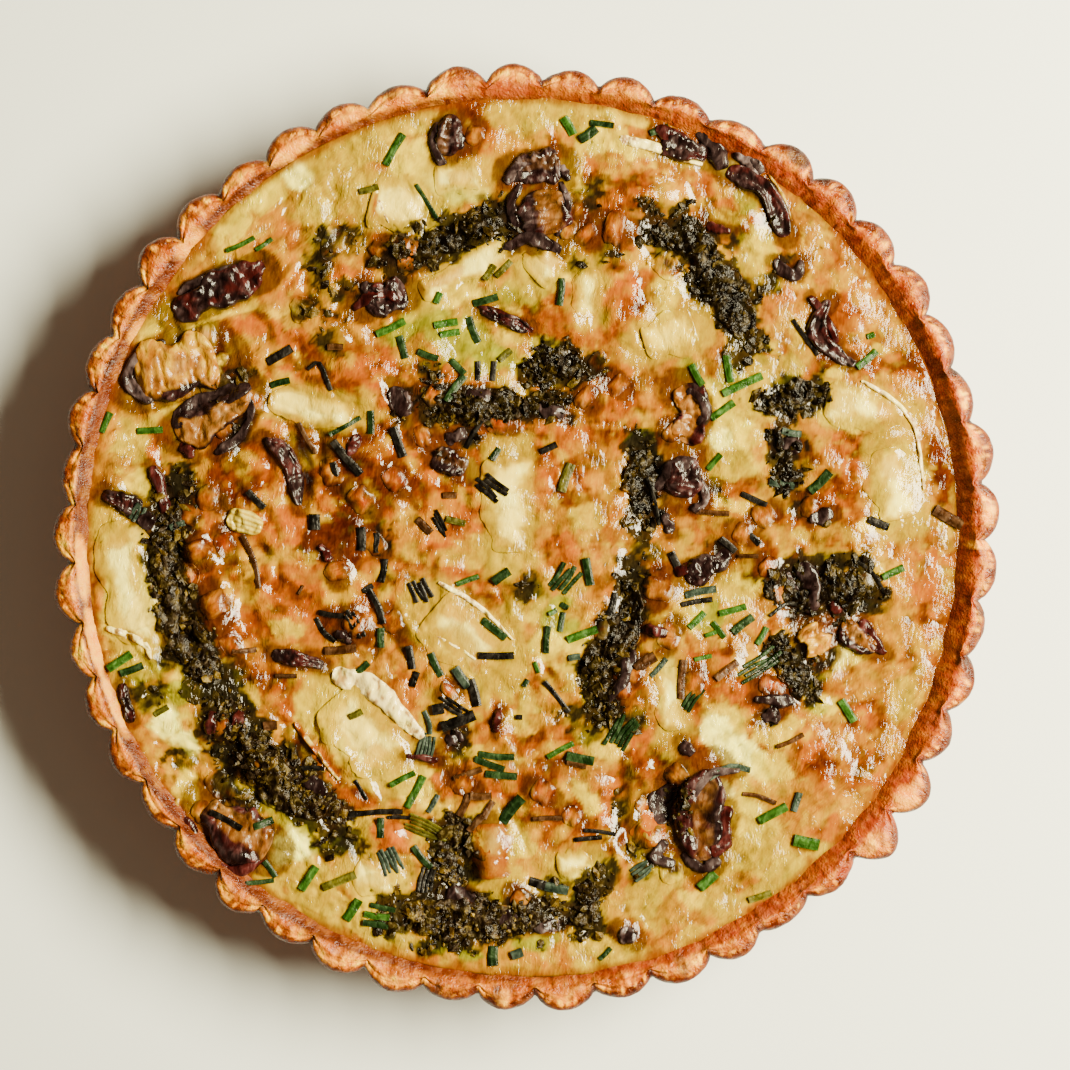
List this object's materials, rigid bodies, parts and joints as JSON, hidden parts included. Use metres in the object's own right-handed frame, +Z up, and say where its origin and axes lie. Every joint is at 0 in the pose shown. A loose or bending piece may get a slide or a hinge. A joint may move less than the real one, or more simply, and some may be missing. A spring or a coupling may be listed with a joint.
{
  "type": "quiche",
  "caption": "Round baked quiche in a deep fluted pastry crust, its browned custard topped with roasted mushroom slices, soft cheese, chopped herbs and chives.",
  "frame": {"origin": "middle of the flat underside of the crust, which stands on the table", "axes": "+Z up through the quiche, out of the custard; +X and +Y level, with the quiche seen from above as it is served"},
  "size_m": [0.2396, 0.2398, 0.0344],
  "materials": {
    "pastry": "matte",
    "custard": "satin",
    "mushroom": "gloss",
    "cheese": "satin",
    "herbs": "satin",
    "onion": "satin"
  },
  "bodies": {
    "root": {"cheese_bottom_browned": "cheese", "cheese_bottom_left": "cheese", "cheese_bottom_small": "cheese", "cheese_browned_bulb": "cheese", "cheese_left_edge": "cheese", "cheese_left_slice": "cheese", "cheese_lower_left": "cheese", "cheese_lower_middle": "cheese", "cheese_lower_right": "cheese", "cheese_middle_oval": "cheese", "cheese_right_lower": "cheese", "cheese_right_patch": "cheese", "cheese_right_upper": "cheese", "cheese_top_block": "cheese", "cheese_top_small": "cheese", "cheese_upper_band": "cheese", "cheese_upper_lump": "cheese", "cheese_upper_oval": "cheese", "crust": "pastry", "custard": "custard", "herbs_bottom_bank": "herbs", "herbs_bottom_stem": "herbs", "herbs_bottom_tuft": "herbs", "herbs_inner_right": "herbs", "herbs_left_column": "herbs", "herbs_lower_left": "herbs", "herbs_lower_right": "herbs", "herbs_middle_column": "herbs", "herbs_right": "herbs", "herbs_right_strip": "herbs", "herbs_right_upper": "herbs", "herbs_top": "herbs", "herbs_upper_middle": "herbs", "herbs_upper_right": "herbs", "herbs_upper_tuft": "herbs", "mushroom_big_curl": "mushroom", "mushroom_cap_curl": "mushroom", "mushroom_cap_slice": "mushroom", "mushroom_inner_dark": "mushroom", "mushroom_inner_leaf": "mushroom", "mushroom_left_arch": "mushroom", "mushroom_left_gilled": "mushroom", "mushroom_left_lens": "mushroom", "mushroom_left_long": "mushroom", "mushroom_left_strip": "mushroom", "mushroom_left_tip": "mushroom", "mushroom_mid_dark": "mushroom", "mushroom_mid_lens": "mushroom", "mushroom_mid_scrap": "mushroom", "mushroom_right_flesh": "mushroom", "mushroom_right_hook": "mushroom", "mushroom_right_tail": "mushroom", "mushroom_rim_knob": "mushroom", "mushroom_rim_sliver": "mushroom", "mushroom_rim_strip": "mushroom", "mushroom_top": "mushroom", "mushroom_upper_nub": "mushroom", "mushroom_wrinkled": "mushroom", "onion_curl": "onion"}
  },
  "joints": []
}
